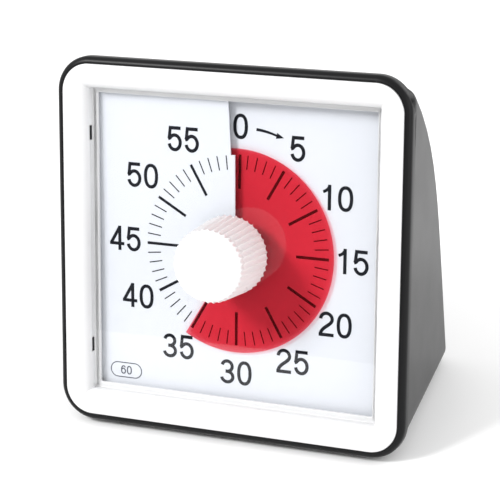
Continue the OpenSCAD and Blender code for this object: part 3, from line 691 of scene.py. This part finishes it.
# The digits are strokes whose centre lines are drawn in millimetres from the digit's middle, so
# the numbers in the functions below are places, radii and angles of those lines
DIGIT_W = 5.9
DIGIT_H = 9.5
DIGIT_STEP = 7.0           # from one digit to the next
STROKE = 1.3
THIN = STROKE * 0.95       # slanted and level strokes look as heavy as the others at this width
FLAG = STROKE * 0.88       # the short flag of the 1
TOP = DIGIT_H / 2 - STROKE / 2      # centre line of the uppermost stroke
SIDE = DIGIT_W / 2 - STROKE / 2
BOWL = SIDE * 1.2          # half the height of the bowls of 5 and 6
ZERO_STEPS = 48
ZERO_POWER = 0.86          # under 1 gives the 0 fuller shoulders than an oval has


def digit_0():
    loop = []
    for i in range(ZERO_STEPS + 1):
        a = math.radians(90 + 360 / ZERO_STEPS * i)
        c, s = math.cos(a), math.sin(a)
        loop.append((math.copysign(abs(c) ** ZERO_POWER, c) * SIDE,
                     math.copysign(abs(s) ** ZERO_POWER, s) * TOP))
    return [strip(loop, STROKE)]


def digit_1():
    x = 0.75
    flag = bend((x, TOP + 0.1), (x - 0.5, TOP - 1.1), (x - 1.4, TOP - 1.7), (x - 2.5, TOP - 2.1))
    return [strip([(x, -DIGIT_H / 2), (x, DIGIT_H / 2)], STROKE), strip(flag, FLAG)]


def digit_2():
    bowl_r = SIDE * 1.02
    bowl_y = TOP - bowl_r
    bowl = arc(0, bowl_y, SIDE, bowl_r, 176, 0)
    stem = bend((SIDE, bowl_y + 0.2), (SIDE, bowl_y - 2.1), (-SIDE * 0.75, -TOP + 3.2),
                (-SIDE, -TOP + 0.2))
    return [strip(bowl + stem, STROKE), strip([(-DIGIT_W / 2, -TOP), (DIGIT_W / 2, -TOP)], STROKE)]


def digit_3():
    upper = 2.02
    waist = TOP - 2 * upper
    lower = (TOP + waist) / 2
    top = arc(-0.05, TOP - upper, SIDE * 0.9, upper, 168, -82)
    foot = arc(0, waist - lower, SIDE, lower, 86, -172)
    return [strip(top + [(-0.7, waist + 0.02)], STROKE), strip([(-0.7, waist)] + foot, STROKE)]


def digit_4():
    x, bar = 1.15, -2.15
    return [strip([(x, -DIGIT_H / 2), (x, DIGIT_H / 2)], STROKE),
            strip([(-DIGIT_W / 2 - 0.1, bar), (DIGIT_W / 2 + 0.1, bar)], THIN),
            strip([(-DIGIT_W / 2 + 0.42, bar), (x - 0.05, TOP + 0.1)], THIN)]


def digit_5():
    bowl = arc(0.0, -TOP + BOWL, SIDE, BOWL, 146, -168, 28)
    x, y = bowl[0]
    return [strip([(-1.75, TOP), (SIDE + 0.15, TOP)], STROKE),
            strip([(-1.72, DIGIT_H / 2), (x - 0.32, y + 0.05)], THIN),
            strip([(x - 0.8, y - 0.35)] + bowl, STROKE)]


def digit_6():
    low_y = -TOP + BOWL
    loop = arc(0.05, low_y, SIDE, BOWL, 0, 360, 32)
    back = bend((-SIDE, low_y), (-SIDE, TOP * 0.9), (-0.6, TOP + 0.1), (0.3, TOP))
    hook = bend((0.3, TOP), (1.4, TOP - 0.1), (1.9, TOP - 0.9), (2.1, TOP - 1.6))
    return [strip(loop, STROKE), strip(back + hook, STROKE)]


DIGITS = (digit_0, digit_1, digit_2, digit_3, digit_4, digit_5, digit_6)

# Centre of each number on the card, in millimetres from the dial's centre
NUMBER_PLACES = {
    0: (0.7, 46.9), 5: (23.5, 40.2), 10: (38.9, 23.3), 15: (45.4, 0.1), 20: (39.4, -24.2),
    25: (22.8, -40.3), 30: (-0.1, -47.1), 35: (-23.9, -39.6), 40: (-40.6, -21.3),
    45: (-45.8, 0.7), 50: (-38.2, 25.8), 55: (-21.3, 40.8),
}
MINUTE = 6                 # degrees of the dial in a minute
MINOR_TICK = (0.42, 5.4)   # width and length
MAJOR_TICK = (1.08, 12.9)
TICK_R = 36.4
ZERO_TICK_TURN = 0.9       # the tick at 0 stands this many degrees past the slit

ARROW_PLACE = (12.5, 45.0)
ARROW_ANGLE = 15           # dial angle near the arrow
ARROW_TURN = -12.5
ARROW_LENGTH = 11.2
ARROW_BOW = 0.3            # rise of the bent shaft's middle
ARROW_HEAD = (3.0, 1.15)   # the head's length and half its width
ARROW_OVERLAP = 0.4        # the shaft runs this far into the head
ARROW_TAIL = 0.56          # half the shaft's width at its tail
ARROW_TAPER = 0.16         # how much less it is at the head
ARROW_TIP = 0.02
ARROW_STEPS = 8

PILL_PLACE = (-46.0, -51.6)
PILL_ANGLE = 222           # dial angle near the label
PILL_SIZE = (13.0, 5.8)
PILL_LINE = 0.38
PILL_TIME = 60
PILL_SCALE = 0.36          # size of its digits against those of the dial


def number(value, k=1.0):
    """Strips of a plain number, centred."""
    text = str(value)
    strips = []
    for i, mark in enumerate(text):
        strips += moved(DIGITS[int(mark)](), (i - (len(text) - 1) / 2) * DIGIT_STEP, 0)
    return scaled(strips, k)


def make_numbers():
    for minute, (x, y) in NUMBER_PLACES.items():
        points, faces = laid(moved(number(minute), x, y), minute * MINUTE)
        made = piece("number_%02d" % minute, points, faces, INK, "housing")
        if minute == 0:
            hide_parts("dial_numerals")


def make_ticks():
    ticks = []
    for minute in range(60):
        width, length = MAJOR_TICK if minute % 5 == 0 else MINOR_TICK
        angle = minute * MINUTE + (ZERO_TICK_TURN if minute == 0 else 0)
        inner, outer = polar(TICK_R - length, angle), polar(TICK_R, angle)
        ticks.append(laid([strip([inner[:2], outer[:2]], width)], angle))
    points, faces = merged(*ticks)
    piece("minute_ticks", points, faces, INK, "housing", ["dial_ticks"])


def make_arrow():
    """Arrow with a bent shaft that grows thinner towards its head."""
    a = math.radians(ARROW_TURN)
    along = (math.cos(a), math.sin(a))
    across = (-along[1], along[0])

    def at(u, v):
        return tuple(p + u * s + v * t for p, s, t in zip(ARROW_PLACE, along, across))

    head_l, head_w = ARROW_HEAD
    half = ARROW_LENGTH / 2
    neck = half - head_l
    shaft = []
    for i in range(ARROW_STEPS + 1):
        t = i / ARROW_STEPS
        u, v = -half + t * (neck + ARROW_OVERLAP + half), ARROW_BOW * 4 * t * (1 - t)
        w = ARROW_TAIL - ARROW_TAPER * t
        shaft.append((at(u, v + w), at(u, v - w)))
    head = [(at(neck, head_w), at(neck, -head_w)), (at(half, ARROW_TIP), at(half, -ARROW_TIP))]
    points, faces = laid([shaft, head], ARROW_ANGLE)
    piece("turn_arrow", points, faces, INK, "housing")


def make_pill():
    """Outlined label with the full time."""
    width, height = PILL_SIZE
    half, r = width / 2 - height / 2, height / 2
    x, y = PILL_PLACE
    loop = arc(x + half, y, r, r, -90, 90, 16) + arc(x - half, y, r, r, 90, 270, 16)
    loop.append(loop[0])
    digits = moved(number(PILL_TIME, PILL_SCALE), x, y)
    points, faces = merged(laid([strip(loop, PILL_LINE)], PILL_ANGLE), laid(digits, PILL_ANGLE))
    piece("label_outline", points, faces, LABEL_INK, "housing")


make_numbers()
make_ticks()
make_arrow()
make_pill()


# ---- knob ----

KNOB_R = 15.1              # over the ribs at the foot
KNOB_FRONT_R = 13.9        # at the front, before the rounding
KNOB_ROUND = 2.4
KNOB_CHAMFER = (0.3, 0.35)             # the foot's chamfer, inwards and up
KNOB_STEPS = 8             # rings along the wall, and again around the rounding
CAP_RADII = (9.0, 5.0, 1.5)            # rings on the flat front
CAP_DROP = 0.01            # the flat front stands this much behind the rounding's crest
RIBS = 40
RIB_DEPTH = 0.95
RIB_POINTS = 6
RIB_FADE = 5               # the ribs run out over this many rings of the rounding
FOOT_SHARE = 0.5           # share of the ribs' depth at the foot
KNOB_SHARP = 50            # keeps the ribs' crests sharp and the knob's rounding smooth


def knob_profile():
    """Rings of the knob from its foot to its front, as (radius, height, share of the ribs' depth)."""
    low, high = dial_box("knob")
    foot, front = low.z, high.z
    shoulder = front - KNOB_ROUND
    inset, wall = KNOB_CHAMFER[0], foot + KNOB_CHAMFER[1]
    profile = [(KNOB_R - inset, foot, FOOT_SHARE), (KNOB_R, wall, 1.0)]
    for i in range(1, KNOB_STEPS + 1):
        t = i / KNOB_STEPS
        profile.append((KNOB_R + (KNOB_FRONT_R - KNOB_R) * t, wall + (shoulder - wall) * t, 1.0))
    for i in range(1, KNOB_STEPS + 1):
        a = math.radians(90 * i / KNOB_STEPS)
        profile.append((KNOB_FRONT_R - KNOB_ROUND * (1 - math.cos(a)),
                        shoulder + KNOB_ROUND * math.sin(a), max(0.0, 1 - i / RIB_FADE)))
    return profile + [(r, front - CAP_DROP, 0.0) for r in CAP_RADII]


def make_knob():
    profile = knob_profile()
    count = RIBS * RIB_POINTS
    points = []
    for radius, z, share in profile:
        for i in range(count):
            a = 2 * math.pi * i / count
            crest = abs(2 * ((i / RIB_POINTS) % 1) - 1)
            r = radius - share * RIB_DEPTH * (1 - crest ** 2)
            points.append((r * math.cos(a), r * math.sin(a), z))
    foot, front = end_faces(len(profile), count)
    faces = ring_faces(len(profile), count) + [front] + flipped([foot])
    piece("knob_ribbed", points, faces, KNOB, "knob_set", ["knob"], sharp=KNOB_SHARP)


make_knob()


# ---- coil and circuit board ----

WIRE = 0.28
WIRE_STEPS = 18            # points of the wire's route in a turn
WIRE_SIDES = 6
WIRE_START = 0.7           # the first turn's middle, in wires from the flange
WIRE_INSET = 0.2           # the winding lies this far inside the bobbin's outline
FLANGE = 1.0               # thickness of the bobbin's flanges

# On the board, in millimetres from its lower left corner
BOARD_SINK = 0.02          # the parts reach this far into the board
CHIP_PLACE = (8, 8)
CHIP_SIZE = (3.2, 1.3)     # radius and height of the seal
CAPACITOR_PLACES = ((17, 4), (23, 4))
CAPACITOR_SIZE = (2.2, 1.3, 1.0)
DROP_RINGS, DROP_SIDES = 4, 12
# Rows of solder drops: count, place of the first, step along x, radius and height of a drop
SOLDER_ROWS = ((4, (2, 14.2), 4, 0.7, 0.5), (5, (14, 1.8), 3, 0.6, 0.45))


def make_winding():
    """Copper wire in close turns on the coil's bobbin."""
    low, high = dial_box("coil")
    centre = (low + high) / 2
    radius = (high.x - low.x) / 2 - WIRE_INSET
    turns = int((high.y - low.y - 2 * FLANGE) / WIRE) - 1
    route = []
    for i in range(turns * WIRE_STEPS + 1):
        a = 2 * math.pi * i / WIRE_STEPS
        y = low.y + FLANGE + WIRE * (WIRE_START + i / WIRE_STEPS)
        route.append((centre.x + radius * math.cos(a), y, centre.z + radius * math.sin(a)))
    points, faces = tube(route, WIRE / 2, WIRE_SIDES)
    piece("coil_winding", points, faces, COPPER, "housing")


def make_board_parts():
    """The sealed chip, two small capacitors and the solder points on the board."""
    low, high = dial_box("circuit_board")

    def on_board(part, place, lift=0.0):
        return shifted(part, (low.x + place[0], low.y + place[1], high.z - BOARD_SINK + lift))

    points, faces = on_board(dome(*CHIP_SIZE), CHIP_PLACE)
    piece("board_chip_seal", points, faces, DARK, "housing")
    block, lift = brick(CAPACITOR_SIZE), CAPACITOR_SIZE[2] / 2
    points, faces = merged(*(on_board(block, place, lift) for place in CAPACITOR_PLACES))
    piece("board_capacitors", points, faces, PALE, "housing")
    drops = []
    for count, (x, y), step, radius, height in SOLDER_ROWS:
        drop = dome(radius, height, DROP_RINGS, DROP_SIDES)
        drops += [on_board(drop, (x + step * i, y)) for i in range(count)]
    points, faces = merged(*drops)
    piece("board_solder", points, faces, STEEL, "housing")


make_winding()
make_board_parts()


# ---- screws ----

HEAD_R = 2.3
HEAD_T = 1.4
SHANK_R = 1.25
SCREW_SIDES = 24
# Rings of the head from its top: shares of its radius and of its thickness
HEAD_PROFILE = ((TIP_SHARE, 0.0), (0.5, 0.0), (0.82, 0.12), (1, 0.5), (1, 1))
THREAD_PITCH = 0.9
THREAD_DEPTH = 0.28
THREAD_STEPS = 6           # rings in a turn of the thread
THREAD_START = 0.3         # from the head to the first ring
POINT_L = 1.0              # length of the point past the thread
POINT_SHARE = 0.15         # radius of the point's end against the shank's
SLOT_ARMS = ((2.6, 0.6, 1.6), (0.6, 2.6, 1.6))     # the two bars of the cross slot
SCREW_TURN = 23            # how far the first screw is turned, in degrees
SCREW_TURN_STEP = 67       # and each next one more
SCREW_SHARP = 35


def screw_shape(length):
    """A pan-head screw with a thread; the head's top is at z = 0 and the shank runs up."""
    points = [p for r, z in HEAD_PROFILE for p in circle(HEAD_R * r, HEAD_T * z, SCREW_SIDES)]
    points += circle(SHANK_R, HEAD_T, SCREW_SIDES)
    steps = int((length - POINT_L) / THREAD_PITCH * THREAD_STEPS)
    for i in range(steps + 1):
        z = HEAD_T + THREAD_START + (length - POINT_L - THREAD_START) * i / steps
        for k in range(SCREW_SIDES):
            a = 2 * math.pi * k / SCREW_SIDES
            share = (z / THREAD_PITCH - k / SCREW_SIDES) % 1
            r = SHANK_R - THREAD_DEPTH * abs(2 * share - 1)
            points.append((r * math.cos(a), r * math.sin(a), z))
    points += circle(SHANK_R * POINT_SHARE, HEAD_T + length, SCREW_SIDES)
    rings = len(points) // SCREW_SIDES
    top, tip = end_faces(rings, SCREW_SIDES)
    return points, flipped(ring_faces(rings, SCREW_SIDES)) + [top] + flipped([tip])


def plain_object(name, part):
    mesh = bpy.data.meshes.new(name)
    mesh.from_pydata([Vector(p) * MM for p in part[0]], [], part[1])
    return linked(name, mesh)


def cut_mesh(part, cutters):
    """The mesh of a part with other shapes cut out of it."""
    body = plain_object("cut_body", part)
    tools = [plain_object("cut_tool", c) for c in cutters]
    for tool in tools:
        modifier = body.modifiers.new("cut", "BOOLEAN")
        modifier.operation = "DIFFERENCE"
        modifier.solver = "EXACT"
        modifier.object = tool
    bpy.context.view_layer.update()
    mesh = bpy.data.meshes.new_from_object(body.evaluated_get(bpy.context.evaluated_depsgraph_get()))
    for extra in (body, *tools):
        bpy.data.objects.remove(extra)
    return mesh


def make_screws(node):
    """Four screws at the corners of a CAD node's box, each turned another way."""
    low, high = dial_box(node)
    mesh = cut_mesh(screw_shape(high.z - low.z - HEAD_T), [brick(arm) for arm in SLOT_ARMS])
    mesh.materials.clear()
    mesh.materials.append(STEEL)
    mesh.shade_smooth()
    mesh.set_sharp_from_angle(angle=math.radians(SCREW_SHARP))
    x, y = high.x - HEAD_R, high.y - HEAD_R
    places = [(i * x, j * y, low.z) for i in (-1, 1) for j in (-1, 1)]
    for i, place in enumerate(places):
        made = linked("%s_%d" % (node, i + 1), mesh)
        turned = Matrix.Rotation(math.radians(SCREW_TURN + SCREW_TURN_STEP * i), 4, "Z")
        made.matrix_world = DIAL_FRAME @ Matrix.Translation(Vector(place) * MM) @ turned
        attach(made, "housing")
        if i == 0:
            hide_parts(node)


make_screws("chassis_screws")
make_screws("movement_screws")


# ---- battery bay ----

SPRING_WIRE = 0.35         # radius of the spring's wire
SPRING_SIDES = 10
SPRING_TURNS = 3.2
SPRING_TIP_R = 2.0         # radius of the cone's first turn
SPRING_WIDENING = 2.6      # and how much wider the last one is
SPRING_FLAT = 0.12         # share of the wire that lies flat at the tip
SPRING_STEPS = 96
PLATE_R = 4.9
PLATE_T = 0.4
PLATE_HOLE = 0.02

DOOR_REACH = 20.4          # the door's upper edge above its hinge
DOOR_FACE = 1.6            # the door's outer face outwards from its hinge
GRIP_RIBS = 5
GRIP_L = 18                # length of the uppermost rib
GRIP_SHORTENING = 2.2      # each next rib is this much shorter
GRIP_W = 0.5               # width and height of a rib
GRIP_DROP = 4.6            # from the door's upper edge to the first rib
GRIP_STEP = 1.3
GRIP_EDGE = 0.15


def make_spring():
    """The conical contact spring on the battery's flat end, with its plate."""
    low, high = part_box("contact_spring")
    room = (high.x - low.x) / MM
    route = []
    for i in range(SPRING_STEPS + 1):
        t = i / SPRING_STEPS
        a = 2 * math.pi * SPRING_TURNS * t
        r = SPRING_TIP_R + SPRING_WIDENING * t
        climb = max(0.0, (t - SPRING_FLAT) / (1 - SPRING_FLAT))
        x = -room / 2 + SPRING_WIRE + (room - 2 * SPRING_WIRE - PLATE_T) * climb
        route.append((-x, r * math.cos(a), r * math.sin(a)))
    plate, plate_faces = lathe([(PLATE_HOLE, 0), (PLATE_R, 0), (PLATE_R, PLATE_T),
                                (PLATE_HOLE, PLATE_T)])
    plate = [(z - room / 2, y, x) for x, y, z in plate]
    points, faces = merged(tube(route, SPRING_WIRE, SPRING_SIDES), (plate, plate_faces))
    piece("contact_spring_coil", points, faces, STEEL, "housing", ["contact_spring"],
          space=back_space((low + high) / 2))


def make_door_grip():
    """Fine ribs beside the door's finger notch."""
    bars = []
    for i in range(GRIP_RIBS):
        bar = brick((GRIP_L - GRIP_SHORTENING * i, GRIP_W, GRIP_W))
        bars.append(shifted(bar, (0, DOOR_REACH - GRIP_DROP - GRIP_STEP * i, DOOR_FACE)))
    points, faces = merged(*bars)
    made = piece("door_grip", points, faces, CASE, "door",
                 space=back_space(Vector(joint("door_hinge")["pos_m"])))
    bevel = made.modifiers.new("bevel", "BEVEL")
    bevel.width = GRIP_EDGE * MM
    bevel.segments = 2


make_spring()
make_door_grip()


# ---- floor and panel, in metres ----

FLOOR_SIDE = 3.0           # how far the floor reaches to the sides and the back
FLOOR_FRONT = -0.5         # a longer floor would show in the window's mirror image
FLAG_TOWARD = Vector((-0.377, -0.926, 0))       # where the window mirrors the room
FLAG_DISTANCE = 1.1
FLAG_HALF = 0.55           # half the panel's width
FLAG_LOW = -0.7
FLAG_HIGH = 0.32


def stage_panel(name, corners, look):
    data = bpy.data.meshes.new(name)
    data.from_pydata(corners, [], [(0, 1, 2, 3)])
    data.materials.append(look)
    panel = linked(name, data)
    return panel


def make_floor():
    look = moulded("floor_pale", even(0.85), even(0.004), 0.6, 400, 0.00001)
    corners = ((-FLOOR_SIDE, FLOOR_FRONT), (FLOOR_SIDE, FLOOR_FRONT), (FLOOR_SIDE, FLOOR_SIDE),
               (-FLOOR_SIDE, FLOOR_SIDE))
    stage_panel("floor", [(x, y, 0) for x, y in corners], look)


def make_flag():
    """A dark panel, mirrored by the window and not seen itself, so that the print stays dark."""
    look = moulded("flag_dark", even(0.02), even(0.004), 0.9, 400, 0.00001)
    across = Vector((FLAG_TOWARD.y, -FLAG_TOWARD.x, 0))
    centre = FLAG_TOWARD * FLAG_DISTANCE
    corners = [centre + across * u + Vector((0, 0, v)) for u, v in
               ((-FLAG_HALF, FLAG_LOW), (FLAG_HALF, FLAG_LOW), (FLAG_HALF, FLAG_HIGH),
                (-FLAG_HALF, FLAG_HIGH))]
    stage_panel("flag", corners, look).visible_camera = False


make_floor()
make_flag()
